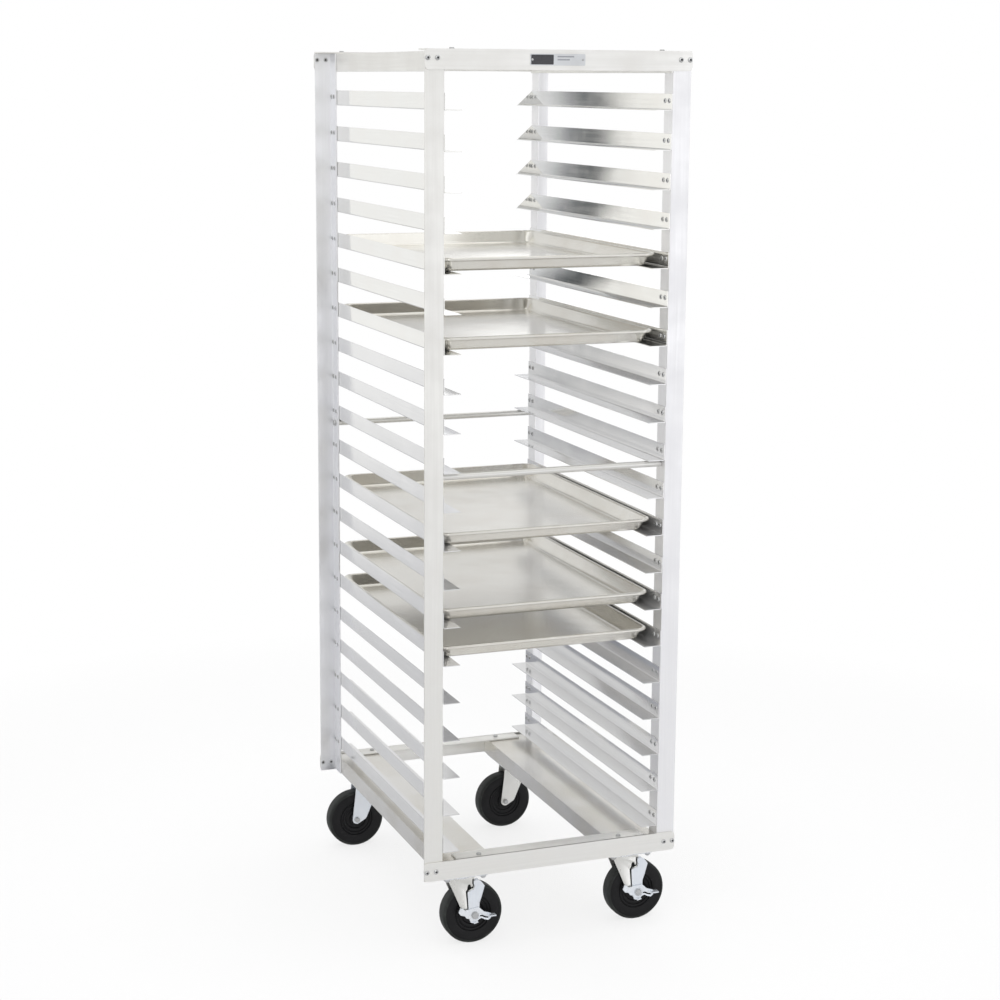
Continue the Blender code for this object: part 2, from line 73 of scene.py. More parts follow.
# Frame
ANGLE_WALL = 0.125 * INCH
FRAME_EDGE = 0.00045  # rounding of the extrusions' edges
RAIL_RIVETS = (0.22 * INCH, 0.97 * INCH)  # in from the end of a front or rear rail
RAIL_RIVET_DROP = {"top": 0.66 * INCH, "bottom": 0.76 * INCH}  # below the rail's upper face
RAIL_BOLT_X = {"top": 8.45 * INCH, "bottom": 6.0 * INCH}  # out from the middle of the rail
RAIL_BOLT_INSET = 0.62 * INCH  # in from the rail's outer face
RAIL_BOLT_SIZE = 0.34 * INCH  # hexagons are measured across the flats
ROD_CHAMFER = 0.0008
ROD_HEAD_SIZE = 0.44 * INCH
PART_GAP = 0.0003  # left between neighbouring CAD parts

# Nameplate
NAMEPLATE_CORNER = 0.08 * INCH
FIELD_CORNER = 0.05 * INCH
FIELD_MARGIN = 0.06 * INCH
DARK_FIELD_END = 1.85 * INCH  # from the plate's left edge
LINE_START = 0.3 * INCH  # from the dark field
LINE_LENGTHS = (1.35 * INCH, 1.0 * INCH)
LINE_TOP = 0.25 * INCH  # from the plate's upper edge down to the first line's lower edge
LINE_PITCH = 0.22 * INCH
LINE_HEIGHT = 0.1 * INCH
PIN_INSETS = (0.16 * INCH, 0.2 * INCH)  # from the plate's left and right edge

# Casters
PLATE_WALL = 0.14 * INCH
PLATE_CORNER = 0.4 * INCH
PLATE_BOLT_X = 1.5 * INCH
PLATE_BOLT_Y = 1.85 * INCH
PLATE_BOLT_SIZE = 0.5 * INCH
KINGPIN_NUT_DROP = 0.59 * INCH  # below the plate
KINGPIN_NUT_SIZE = 0.62 * INCH
AXLE_HEAD_SIZE = {FRONT: 0.5 * INCH, REAR: 0.38 * INCH}
AXLE_NUT_SIZE = 0.56 * INCH
AXLE_RADIUS = 0.18 * INCH
AXLE_HEAD_INSET = 0.22 * INCH  # from the axle's ends to the faces of head and nut
AXLE_NUT_INSET = 0.28 * INCH
BEARING_BORE = 0.2 * INCH
BEARING_RADIUS = 0.31 * INCH
BEARING_HALF = 0.64 * INCH
CROWN_RADIUS = 1.25 * INCH
CROWN_RIM = 0.07 * INCH
CROWN_RIM_DROP = 0.075 * INCH  # below the crown's top
CROWN_RIM_STEPS = 13
BLUE_FORK = "caster_rear_left"  # it takes the bluer zinc colour, the others the warm one
FORK_GAP_DEPTH = 0.6 * INCH  # from the axle's middle to the back of the cut in the fork
LEVER_TREAD = 0.5 * INCH  # how far the pedal stands forward of the lever's blade

# Pans
PAN_HEIGHT = 1.06 * INCH
PAN_CORNER = 1.0 * INCH
PAN_LEAST_CORNER = 0.3 * INCH
PAN_SHEET = 0.05 * INCH
PAN_FOOT = 0.78 * INCH  # from the rim in to the foot of the sloped wall
PAN_SHOULDER = 0.30 * INCH  # from the rim in to the top of the sloped wall
PAN_FILLET = 0.28 * INCH
BEAD_RADIUS = 0.135 * INCH
BEAD_START = -50  # degrees, where the wall runs into the rolled bead
BEAD_SWEEP = 245
BEAD_STEPS = 16

# Camera
CAMERA_PLACE = (-1.5546, -4.0592, 1.7231)
CAMERA_HEADING = math.radians(20.73)  # from +Y towards +X
CAMERA_TILT = math.radians(-10.59)
CAMERA_ROLL = math.radians(0.33)
CAMERA_LENS = 75.3
CAMERA_SHIFT = (0.0182, -0.03)

# Studio
FLOOR_RADIUS = 2.2
FLOOR_COVER = 0.24  # how much of the white beneath the floor hides
FLOOR_FADE = (0.4, 0.97)  # shares of the radius between which the floor fades out
UP = (0, 0, 1)
TO_LEFT = (-1, 0, 0)
TO_RIGHT = (1, 0, 0)
TO_FRONT = (0, -1, 0)
TO_REAR = (0, 1, 0)
# The room that the metal reflects, as it changes with height. Its stops run from straight down at 0 to
# straight up at 1.
ROOM_BY_HEIGHT = (
    (0.0, (0.56, 0.55, 0.53)),
    (0.33, (0.50, 0.505, 0.52)),
    (0.375, (0.72, 0.72, 0.73)),
    (0.43, (1.0, 0.995, 0.975)),
    (0.49, (1.0, 0.995, 0.975)),
    (0.515, (0.60, 0.605, 0.63)),
    (0.58, (0.54, 0.545, 0.57)),
    (0.60, (0.93, 0.93, 0.93)),
    (0.665, (0.80, 0.80, 0.80)),
    (0.76, (0.62, 0.62, 0.61)),
    (0.86, (0.66, 0.65, 0.64)),
    (1.0, (0.70, 0.70, 0.70)),
)
# A doorway at the rear left, dark between pale walls. Its stops run across it from left to right.
DOORWAY_HEADING = math.radians(24.1)  # from +Y towards -X
TO_DOORWAY = (-math.sin(DOORWAY_HEADING), math.cos(DOORWAY_HEADING), 0)
ACROSS_DOORWAY = (math.cos(DOORWAY_HEADING), math.sin(DOORWAY_HEADING), 0)
DOORWAY_REACH = 0.08
ROOM_ACROSS_DOORWAY = (
    (0.0, (1.0, 0.99, 0.96)),
    (0.485, (0.97, 0.96, 0.93)),
    (0.50, (0.01, 0.015, 0.02)),
    (0.60, (0.03, 0.04, 0.05)),
    (0.67, (0.80, 0.81, 0.83)),
    (1.0, (0.93, 0.93, 0.92)),
)
# An area of the room is the directions that lie far enough along each of its axes. It fades in along an axis
# between the two numbers, from the first to the second.
DOORWAY_AREA = ((TO_DOORWAY, 0.5, 0.6), (UP, -0.26, -0.1), (UP, 0.15, 0.05))
DARK_SIDE_AREA = ((TO_FRONT, 0.25, 0.7), (UP, 0.08, 0.3), (UP, 0.75, 0.45))
WINDOW_AREA = ((TO_FRONT, 0.5, 0.7), (TO_RIGHT, 0.30, 0.46), (UP, 0.25, 0.0), (UP, -0.3, -0.18))
LOW_REAR_LEFT_AREA = ((TO_REAR, 0.3, 0.7), (TO_LEFT, 0.32, 0.36), (UP, -0.1, -0.23))
LOW_REAR_RIGHT_AREA = ((TO_REAR, 0.3, 0.7), (TO_RIGHT, 0.2, 0.3), (UP, -0.1, -0.23))
HORIZON_AREA = ((TO_REAR, 0.3, 0.7), (TO_RIGHT, 0.33, 0.36), (UP, 0.02, 0.06), (UP, 0.13, 0.1))
REAR_FLOOR = (0.20, 0.21, 0.25)
# Areas with a colour of their own. A later one covers those before it.
ROOM_AREAS = (
    (DARK_SIDE_AREA, (0.62, 0.62, 0.61)),
    (WINDOW_AREA, (1.35, 1.35, 1.40)),
    (LOW_REAR_LEFT_AREA, REAR_FLOOR),
    (LOW_REAR_RIGHT_AREA, REAR_FLOOR),
    (HORIZON_AREA, (2.8, 2.8, 2.8)),
)
DIFFUSE_WHITE = (1.3, 1.3, 1.3)
# Name, place, target, size, energy, colour
LIGHTS = (
    ("key", (-2.2, -3.4, 3.8), (0.0, 0.0, 0.7), 3.0, 28.0, (1.0, 0.99, 0.97)),
    ("top", (0.6, 0.2, 4.4), (0.2, 0.0, 0.0), 4.0, 25.0, (0.98, 0.99, 1.0)),
)

BODY_OF = {}
for body_name, members in frame["record"]["behaviour"]["bodies"].items():
    for member in members:
        BODY_OF[member] = body_name


# ---------------------------------------------------------------- materials


class NodeTree:
    """Short calls for building a material's or the world's nodes."""

    def __init__(self, owner):
        owner.use_nodes = True
        self.nodes = owner.node_tree.nodes
        self.links = owner.node_tree.links

    def add(self, kind, **settings):
        node = self.nodes.new(kind)
        for name, value in settings.items():
            setattr(node, name, value)
        return node

    def link(self, output, target):
        self.links.new(output, target)

    def noise(self, stretch, scale, detail, roughness=0.5):
        """Noise over the piece's own coordinates, with each axis scaled by stretch."""
        place = self.add("ShaderNodeTexCoord")
        mapping = self.add("ShaderNodeMapping")
        mapping.inputs["Scale"].default_value = stretch
        texture = self.add("ShaderNodeTexNoise")
        texture.inputs["Scale"].default_value = scale
        texture.inputs["Detail"].default_value = detail
        texture.inputs["Roughness"].default_value = roughness
        self.link(place.outputs["Object"], mapping.inputs["Vector"])
        self.link(mapping.outputs["Vector"], texture.inputs["Vector"])
        return texture.outputs["Fac"]

    def spread(self, value, low, high, inside=(0.35, 0.65)):
        """Maps a value's range inside to low..high, and holds the ends beyond it."""
        node = self.add("ShaderNodeMapRange")
        node.inputs["From Min"].default_value = inside[0]
        node.inputs["From Max"].default_value = inside[1]
        node.inputs["To Min"].default_value = low
        node.inputs["To Max"].default_value = high
        self.link(value, node.inputs["Value"])
        return node.outputs["Result"]

    def between(self, factor, first, second):
        """A colour that goes from first to second with the factor. Either may be a socket."""
        node = self.add("ShaderNodeMix", data_type="RGBA")
        self.link(factor, node.inputs["Factor"])
        for socket, colour in ((node.inputs["A"], first), (node.inputs["B"], second)):
            if isinstance(colour, tuple):
                socket.default_value = (*colour, 1.0)
            else:
                self.link(colour, socket)
        return node.outputs["Result"]

    def bump(self, height, strength, distance, under=None):
        """A normal raised by the height, on top of another bump if one is given."""
        node = self.add("ShaderNodeBump")
        node.inputs["Strength"].default_value = strength
        node.inputs["Distance"].default_value = distance
        self.link(height, node.inputs["Height"])
        if under is not None:
            self.link(under, node.inputs["Normal"])
        return node.outputs["Normal"]


STREAK_STRETCH = 0.02  # the noise's scale along the grain, which draws it out into streaks
STREAK_SCALE = 240.0
SPECK_SCALE = 650.0


def metal(
    name, clean, stained, grain, roughness, metallic=0.9, grain_depth=0.000004, stain_scale=11.0, wear=1.0
):
    """Sheet or extruded metal: fine streaks along the grain axis, soft stains and a dusting of specks."""
    material = bpy.data.materials.new(name)
    tree = NodeTree(material)
    shader = tree.nodes["Principled BSDF"]
    shader.inputs["Metallic"].default_value = metallic
    stretch = [1.0, 1.0, 1.0]
    stretch["XYZ".index(grain)] = STREAK_STRETCH
    streaks = tree.noise(tuple(stretch), STREAK_SCALE, 3.0, 0.55)
    stains = tree.noise((1.0, 1.0, 1.0), stain_scale, 5.0, 0.62)
    specks = tree.noise((1.0, 1.0, 1.0), SPECK_SCALE, 2.0)
    stain_share = tree.spread(stains, 0.0, 1.0, (0.42, 0.72))
    streak_share = tree.spread(streaks, 0.0, 1.0, (0.3, 0.7))
    streaked = tuple((1.0 - 0.045 * wear) * channel for channel in clean)
    body_colour = tree.between(streak_share, clean, streaked)
    tree.link(tree.between(stain_share, body_colour, stained), shader.inputs["Base Color"])
    worn = tree.add("ShaderNodeMath", operation="ADD")
    rougher = tree.spread(streaks, roughness * (1 - 0.12 * wear), roughness * (1 + 0.1 * wear))
    tree.link(rougher, worn.inputs[0])
    tree.link(tree.spread(stains, -0.1 * wear * roughness, 0.3 * wear * roughness), worn.inputs[1])
    tree.link(worn.outputs["Value"], shader.inputs["Roughness"])
    grain_bump = tree.bump(streaks, 0.4, grain_depth)
    tree.link(tree.bump(specks, 0.2, grain_depth, grain_bump), shader.inputs["Normal"])
    return material


def rubber(name, clean, dusty):
    """Moulded black rubber with a fine grain and a little dust."""
    material = bpy.data.materials.new(name)
    tree = NodeTree(material)
    shader = tree.nodes["Principled BSDF"]
    shader.inputs["Specular IOR Level"].default_value = 0.3
    grain = tree.noise((1.0, 1.0, 1.0), 700.0, 3.0)
    dust = tree.noise((1.0, 1.0, 1.0), 45.0, 6.0, 0.65)
    dust_share = tree.spread(dust, 0.0, 1.0, (0.5, 0.8))
    tree.link(tree.between(dust_share, clean, dusty), shader.inputs["Base Color"])
    tree.link(tree.spread(dust, 0.4, 0.6), shader.inputs["Roughness"])
    tree.link(tree.bump(grain, 0.35, 0.0001), shader.inputs["Normal"])
    return material


def print_colour(name, colour, roughness):
    """Printed foil on the nameplate."""
    material = bpy.data.materials.new(name)
    tree = NodeTree(material)
    shader = tree.nodes["Principled BSDF"]
    shader.inputs["Metallic"].default_value = 0.3
    mottle = tree.noise((1.0, 1.0, 1.0), 300.0, 3.0)
    faded = tuple(1.25 * channel for channel in colour)
    tree.link(tree.between(tree.spread(mottle, 0.0, 1.0), colour, faded), shader.inputs["Base Color"])
    tree.link(tree.spread(mottle, roughness * 0.9, roughness * 1.1), shader.inputs["Roughness"])
    return material


FRAME_COLOUR = (0.93, 0.925, 0.895)
FRAME_STAIN = (0.89, 0.88, 0.85)
# The posts are the same aluminium as FRAME_COLOUR. The next two pairs carry painted light: a bluish painted
# reflection for the rear-left post and a painted highlight for the front-right and rear-right posts.
POST_BLUE_REFLECTION_COLOUR = (0.95, 0.955, 0.98)
POST_BLUE_REFLECTION_STAIN = (0.92, 0.925, 0.94)
POST_HIGHLIGHT_COLOUR = (0.98, 0.98, 0.99)
POST_HIGHLIGHT_STAIN = (0.94, 0.94, 0.96)
CHANNEL_COLOUR = (0.86, 0.85, 0.82)
CHANNEL_STAIN = (0.74, 0.71, 0.64)
SLIDE_COLOUR = (0.93, 0.93, 0.91)
SLIDE_STAIN = (0.90, 0.89, 0.865)
# The lower slides' colours: the same aluminium as above, with painted darker, bluer shade.
LOW_SLIDE_SHADED_COLOUR = (0.875, 0.875, 0.88)
LOW_SLIDE_SHADED_STAIN = (0.87, 0.87, 0.87)
PAN_COLOUR = (0.88, 0.865, 0.815)
PAN_STAIN = (0.82, 0.79, 0.73)
ZINC_COLOUR = (0.84, 0.88, 0.94)
ZINC_STAIN = (0.90, 0.91, 0.92)
WARM_ZINC_COLOUR = (0.89, 0.885, 0.85)
WARM_ZINC_STAIN = (0.80, 0.80, 0.77)

frame_metal = {}
for grain_axis in "XYZ":
    name = f"frame_aluminium_{grain_axis.lower()}"
    frame_metal[grain_axis] = metal(name, FRAME_COLOUR, FRAME_STAIN, grain_axis, 0.36)
# Copies of the frame aluminium with painted light: a bluish painted reflection and a painted highlight.
post_blue_reflection_metal = metal("frame_aluminium_painted_blue_reflection", POST_BLUE_REFLECTION_COLOUR, POST_BLUE_REFLECTION_STAIN, "Z", 0.34)
post_highlight_metal = metal("frame_aluminium_painted_highlight", POST_HIGHLIGHT_COLOUR, POST_HIGHLIGHT_STAIN, "Z", 0.36)
# Posts that take a copy with painted light; the front-left post takes the plain frame metal.
POST_PAINTED_LIGHT_METAL = {(REAR, LEFT): post_blue_reflection_metal, (FRONT, RIGHT): post_highlight_metal, (REAR, RIGHT): post_highlight_metal}
channel_metal = metal(
    "channel_aluminium",
    CHANNEL_COLOUR,
    CHANNEL_STAIN,
    "Y",
    0.24,
    grain_depth=0.0000006,
    stain_scale=5.0,
    wear=0.3,
)
slide_metal = metal("slide_aluminium", SLIDE_COLOUR, SLIDE_STAIN, "Y", 0.055, grain_depth=0.0000002)
low_slide_rough_shaded_metal = metal(
    "slide_aluminium_rough_painted_shade",
    LOW_SLIDE_SHADED_COLOUR,
    LOW_SLIDE_SHADED_STAIN,
    "Y",
    0.12,
    metallic=0.8,
    grain_depth=0.0000001,
)
pan_metal = metal(
    "pan_aluminium",
    PAN_COLOUR,
    PAN_STAIN,
    "X",
    0.22,
    metallic=0.8,
    grain_depth=0.0000003,
    wear=0.12,
)
zinc = metal("zinc_plate", ZINC_COLOUR, ZINC_STAIN, "Z", 0.22, metallic=0.6)
warm_zinc = metal("zinc_plate_warm", WARM_ZINC_COLOUR, WARM_ZINC_STAIN, "Z", 0.3)
fastener_metal = metal("fastener_steel", (0.62, 0.63, 0.64), (0.5, 0.5, 0.49), "Z", 0.3)
rivet_metal = metal("rivet_aluminium", (0.66, 0.67, 0.68), (0.56, 0.56, 0.55), "Z", 0.25)
# Dark steel for the rivets' mandrels. The same material is also the painted shade in the pans' rim creases.
mandrel_and_crease_shade_steel = metal("mandrel_steel_and_painted_crease_shade", (0.05, 0.05, 0.052), (0.09, 0.085, 0.08), "Z", 0.45, metallic=0.5)
wheel_rubber = rubber("wheel_rubber", (0.003, 0.003, 0.004), (0.010, 0.010, 0.011))
tread_rubber = rubber("tread_rubber", (0.012, 0.014, 0.013), (0.035, 0.04, 0.037))
plate_silver = metal("nameplate_silver", (0.74, 0.76, 0.78), (0.66, 0.67, 0.68), "X", 0.35)
plate_dark = print_colour("nameplate_dark", (0.045, 0.045, 0.05), 0.4)
plate_grey = print_colour("nameplate_grey", (0.25, 0.26, 0.28), 0.4)


# ---------------------------------------------------------------- mesh helpers


def curve(start, corner, end, steps):
    """Points from start to end on a curve that bends round the corner."""
    points = []
    for step in range(steps + 1):
        share = step / steps
        points.append(start.lerp(corner, share).lerp(corner.lerp(end, share), share))
    return points


def round_corners(points, radius, steps):
    """The outline with each corner replaced by an arc, as large as its two sides allow."""
    rounded = []
    count = len(points)
    for index in range(count):
        corner = Vector(points[index])
        before = Vector(points[index - 1]) - corner
        after = Vector(points[(index + 1) % count]) - corner
        angle = before.angle(after)
        reach = min(radius / math.tan(angle / 2), before.length * 0.48, after.length * 0.48)
        start = corner + before.normalized() * reach
        end = corner + after.normalized() * reach
        rounded += [(point.x, point.y) for point in curve(start, corner, end, steps)]
    return rounded


def rounded_rectangle(centre_x, centre_y, half_x, half_y, radius, steps):
    """Outline points of a rectangle with round corners."""
    points = []
    for quarter, (sign_x, sign_y) in enumerate(((1, 1), (-1, 1), (-1, -1), (1, -1))):
        for step in range(steps + 1):
            angle = math.pi / 2 * (quarter + step / steps)
            x = sign_x * (half_x - radius) + radius * math.cos(angle)
            y = sign_y * (half_y - radius) + radius * math.sin(angle)
            points.append((centre_x + x, centre_y + y))
    return points


def add_prism(builder, outline, axis, start, end):
    """Extrudes an outline along an axis. Its points hold the other two coordinates, in X, Y, Z order."""
    place = "XYZ".index(axis)
    loops = []
    for level in (start, end):
        loop = []
        for first, second in outline:
            point = [first, second]
            point.insert(place, level)
            loop.append(builder.verts.new(point))
        loops.append(loop)
    builder.faces.new(loops[0])
    builder.faces.new(loops[1])
    bridge(builder, loops[0], loops[1])


def bridge(builder, lower, upper):
    """Joins two loops of as many points with a band of faces."""
    count = len(lower)
    for index in range(count):
        after = (index + 1) % count
        builder.faces.new((lower[index], lower[after], upper[after], upper[index]))


def add_turned(builder, profile, segments, matrix, ring=False):
    """Turns (radius, height) points about the matrix's Z. A ring closes on itself, others get flat ends."""
    loops = []
    for radius, height in profile:
        loop = []
        for step in range(segments):
            angle = 2 * math.pi * step / segments
            place = Vector((radius * math.cos(angle), radius * math.sin(angle), height))
            loop.append(builder.verts.new(matrix @ place))
        loops.append(loop)
    for lower, upper in zip(loops, loops[1:]):
        bridge(builder, lower, upper)
    if ring:
        bridge(builder, loops[-1], loops[0])
    else:
        builder.faces.new(loops[0])
        builder.faces.new(loops[-1])


def facing(place, direction):
    """A matrix at the place whose Z points along the direction."""
    turn = Vector(direction).to_track_quat("Z", "Y").to_matrix().to_4x4()
    return Matrix.Translation(place) @ turn


def add_piece(name, builder, material, body, replaced=(), edge=0.0):
    """Makes an object of the mesh, rounds its edges and lets it ride on a CAD body."""
    bmesh.ops.recalc_face_normals(builder, faces=builder.faces)
    mesh = bpy.data.meshes.new(name)
    builder.to_mesh(mesh)
    builder.free()
    mesh.materials.append(material)
    mesh.shade_smooth()
    mesh.set_sharp_from_angle(angle=math.radians(35))
    piece = bpy.data.objects.new(name, mesh)
    bpy.context.scene.collection.objects.link(piece)
    if edge:
        add_bevel(piece, edge)
    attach(piece, body)
    if replaced:
        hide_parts(*replaced)
    return piece


def add_bevel(piece, width):
    bevel = piece.modifiers.new("rounded edges", "BEVEL")
    bevel.width = width
    bevel.segments = 2
    bevel.limit_method = "ANGLE"
    bevel.angle_limit = math.radians(40)
    bevel.harden_normals = True


def cut(piece, name, builder):
    """Cuts the closed mesh away from the piece, for good."""
    bmesh.ops.recalc_face_normals(builder, faces=builder.faces)
    mesh = bpy.data.meshes.new(name)
    builder.to_mesh(mesh)
    builder.free()
    cutter = bpy.data.objects.new(name, mesh)
    bpy.context.scene.collection.objects.link(cutter)
    modifier = piece.modifiers.new(name, "BOOLEAN")
    modifier.operation = "DIFFERENCE"
    modifier.object = cutter
    piece.modifiers.move(len(piece.modifiers) - 1, 0)
    with bpy.context.temp_override(object=piece, active_object=piece):
        bpy.ops.object.modifier_apply(modifier=name)
    bpy.data.objects.remove(cutter)
    bpy.data.meshes.remove(mesh)


def refined(node, material, edge=FRAME_EDGE):
    """The CAD node's own shape with rounded edges."""
    builder = bmesh.new()
    builder.from_mesh(frame["nodes"][node].data)
    bmesh.ops.remove_doubles(builder, verts=builder.verts, dist=1e-6)
    bmesh.ops.dissolve_limit(builder, angle_limit=math.radians(1), verts=builder.verts, edges=builder.edges)
    return add_piece(node + "_finish", builder, material, BODY_OF[node], (node,), edge)


# ---------------------------------------------------------------- fasteners

RIVET_HEAD = (
    (0.185 * INCH, -0.01 * INCH),
    (0.185 * INCH, 0.03 * INCH),
    (0.165 * INCH, 0.055 * INCH),
    (0.13 * INCH, 0.065 * INCH),
    (0.1 * INCH, 0.055 * INCH),
    (0.09 * INCH, 0.012 * INCH),
)
RAIL_RIVET_HEAD = (
    (0.2 * INCH, -0.01 * INCH),
    (0.2 * INCH, 0.03 * INCH),
    (0.17 * INCH, 0.08 * INCH),
    (0.12 * INCH, 0.115 * INCH),
    (0.09 * INCH, 0.11 * INCH),
    (0.08 * INCH, 0.02 * INCH),
)


class Rivets:
    """Tubular rivets with the dark stub of the mandrel inside, gathered into two pieces."""

    def __init__(self, name):
        self.name = name
        self.heads = bmesh.new()
        self.stubs = bmesh.new()

    def add(self, place, direction, profile):
        matrix = facing(place, direction)
        add_turned(self.heads, profile, 20, matrix)
        radius, floor = profile[-1]
        stub = ((radius * 0.98, floor), (radius * 0.9, floor + 0.02 * INCH))
        add_turned(self.stubs, stub, 12, matrix)

    def finish(self, material):
        add_piece(self.name + "_rivets", self.heads, material, "rack")
        add_piece(self.name + "_mandrels", self.stubs, mandrel_and_crease_shade_steel, "rack")


def add_hex(builder, place, direction, across, height, stub=0.0):
    """A hexagon nut or bolt head with a washer face and, for a nut, the end of its bolt."""
    matrix = facing(place, direction)
    corner = across / 2 / math.cos(math.radians(30))
    washer = ((corner * 1.04, -0.0002), (corner * 1.04, 0.0008), (corner * 0.98, 0.001))
    add_turned(builder, washer, 32, matrix)
    head = ((corner, 0.001), (corner, height * 0.85), (corner * 0.88, height))
    add_turned(builder, head, 6, matrix)
    if stub:
        shank = ((across * 0.3, 0.001), (across * 0.3, height + stub * 0.8), (across * 0.24, height + stub))
        add_turned(builder, shank, 20, matrix)


# ---------------------------------------------------------------- frame


def dress_posts():
    for end in (FRONT, REAR):
        for side in (LEFT, RIGHT):
            material = POST_PAINTED_LIGHT_METAL.get((end, side), frame_metal["Z"])
            refined(f"post_{END_NAME[end]}_{SIDE_NAME[side]}", material)


def dress_rails():
    for side in (LEFT, RIGHT):
        refined(f"top_rail_{SIDE_NAME[side]}", frame_metal["Y"])
        refined(f"caster_channel_{SIDE_NAME[side]}", channel_metal)
    for level in ("top", "bottom"):
        for end in (FRONT, REAR):
            refined(f"{level}_rail_{END_NAME[end]}", frame_metal["X"])


def add_rail_fasteners():
    """Rivets through the posts at the ends of each cross rail, and bolts down through its flat leg."""
    for level in ("top", "bottom"):
        for end in (FRONT, REAR):
            name = f"{level}_rail_{END_NAME[end]}"
            low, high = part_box(name)
            face = high.y if end == REAR else low.y
            inside = face - end * 2 * (ANGLE_WALL + PART_GAP)
            height = high.z - RAIL_RIVET_DROP[level]
            rivets = Rivets(name)
            bolts = bmesh.new()
            for side in (LEFT, RIGHT):
                tip = high.x if side == RIGHT else low.x
                for inset in RAIL_RIVETS:
                    x = tip - side * inset
                    rivets.add((x, face, height), (0, end, 0), RAIL_RIVET_HEAD)
                    rivets.add((x, inside, height), (0, -end, 0), RIVET_HEAD)
                place = (side * RAIL_BOLT_X[level], face - end * RAIL_BOLT_INSET, high.z)
                add_hex(bolts, place, (0, 0, 1), RAIL_BOLT_SIZE, 0.1 * INCH)
            rivets.finish(rivet_metal)
            add_piece(name + "_bolts", bolts, fastener_metal, "rack")


def dress_tie_rods():
    for end in (FRONT, REAR):
        name = f"tie_rod_{END_NAME[end]}"
        low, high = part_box(name)
        centre = (low + high) / 2
        radius = (high.z - low.z) / 2
        half = (high.x - low.x) / 2
        rod = bmesh.new()
        profile = (
            (radius * 0.9, -half),
            (radius, -half + ROD_CHAMFER),
            (radius, half - ROD_CHAMFER),
            (radius * 0.9, half),
        )
        add_turned(rod, profile, 40, facing(centre, (1, 0, 0)))
        add_piece(name + "_finish", rod, frame_metal["X"], "rack", (name,))
        heads = bmesh.new()
        for side in (LEFT, RIGHT):
            place = (side * (half + PART_GAP + ANGLE_WALL), centre.y, centre.z)
            add_hex(heads, place, (side, 0, 0), ROD_HEAD_SIZE, 0.18 * INCH)
        add_piece(name + "_heads", heads, fastener_metal, "rack")


def dress_nameplate():
    """A foil plate with a dark field and a plain silver one, held by two pins. It bears no lettering."""
    low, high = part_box("nameplate")
    centre = (low + high) / 2
    half_width = (high.x - low.x) / 2
    half_height = (high.z - low.z) / 2
    face = low.y

    def field(name, left, right, bottom, top, depth, material):
        middle = ((left + right) / 2, (bottom + top) / 2)
        outline = rounded_rectangle(*middle, (right - left) / 2, (top - bottom) / 2, FIELD_CORNER, 3)
        builder = bmesh.new()
        add_prism(builder, outline, "Y", face + 0.0004, face - depth)
        add_piece(name, builder, material, "rack")

    back = bmesh.new()
    outline = rounded_rectangle(centre.x, centre.z, half_width, half_height, NAMEPLATE_CORNER, 5)
    add_prism(back, outline, "Y", high.y, face)
    add_piece("nameplate_back", back, plate_silver, "rack", ("nameplate",), edge=0.0001)
    split = low.x + DARK_FIELD_END
    left = low.x + FIELD_MARGIN
    bottom = low.z + FIELD_MARGIN
    field("nameplate_dark_field", left, split, bottom, high.z - FIELD_MARGIN, 0.00012, plate_dark)
    left = split + LINE_START
    for row, length in enumerate(LINE_LENGTHS):
        bottom = high.z - LINE_TOP - row * LINE_PITCH
        name = f"nameplate_line_{row + 1}"
        field(name, left, left + length, bottom, bottom + LINE_HEIGHT, 0.0001, plate_grey)
    pins = bmesh.new()
    for x in (low.x + PIN_INSETS[0], high.x - PIN_INSETS[1]):
        head = ((0.09 * INCH, 0.0), (0.085 * INCH, 0.02 * INCH), (0.05 * INCH, 0.04 * INCH))
        add_turned(pins, head, 20, facing((x, face, centre.z), (0, -1, 0)))
    add_piece("nameplate_pins", pins, fastener_metal, "rack")


# ---------------------------------------------------------------- slides


def slide_outline(side, face, ledge, top):
    """An L of thin sheet with a rounded fold: its upright lies on the posts, its ledge points inwards."""
    bottom = top - SLIDE_HEIGHT
    steps = 6
    outline = [(face, top), (face - side * SLIDE_WALL, top)]
    inner = SLIDE_BEND - SLIDE_WALL
    for step in range(steps + 1):
        angle = math.pi / 2 * step / steps
        x = face - side * (SLIDE_BEND - inner * math.cos(angle))
        outline.append((x, bottom + SLIDE_BEND - inner * math.sin(angle)))
    outline += [(face - side * ledge, bottom + SLIDE_WALL), (face - side * ledge, bottom)]
    for step in range(steps + 1):
        angle = math.pi / 2 * (1 - step / steps)
        x = face - side * (SLIDE_BEND - SLIDE_BEND * math.cos(angle))
        outline.append((x, bottom + SLIDE_BEND - SLIDE_BEND * math.sin(angle)))
    return outline


def add_rear_stop(builder, side, face, ledge, top, rear):
    """A triangular tab across the slide's rear end."""
    bottom = top - SLIDE_HEIGHT + SLIDE_WALL / 2
    near = face - side * SLIDE_WALL / 2
    corners = [(near, bottom), (face - side * (ledge - SLIDE_WALL / 2), bottom), (near, top - SLIDE_WALL / 2)]
    outline = round_corners(corners, STOP_CORNER, 3)
    add_prism(builder, outline, "Y", rear - 1.4 * SLIDE_WALL, rear - 0.4 * SLIDE_WALL)


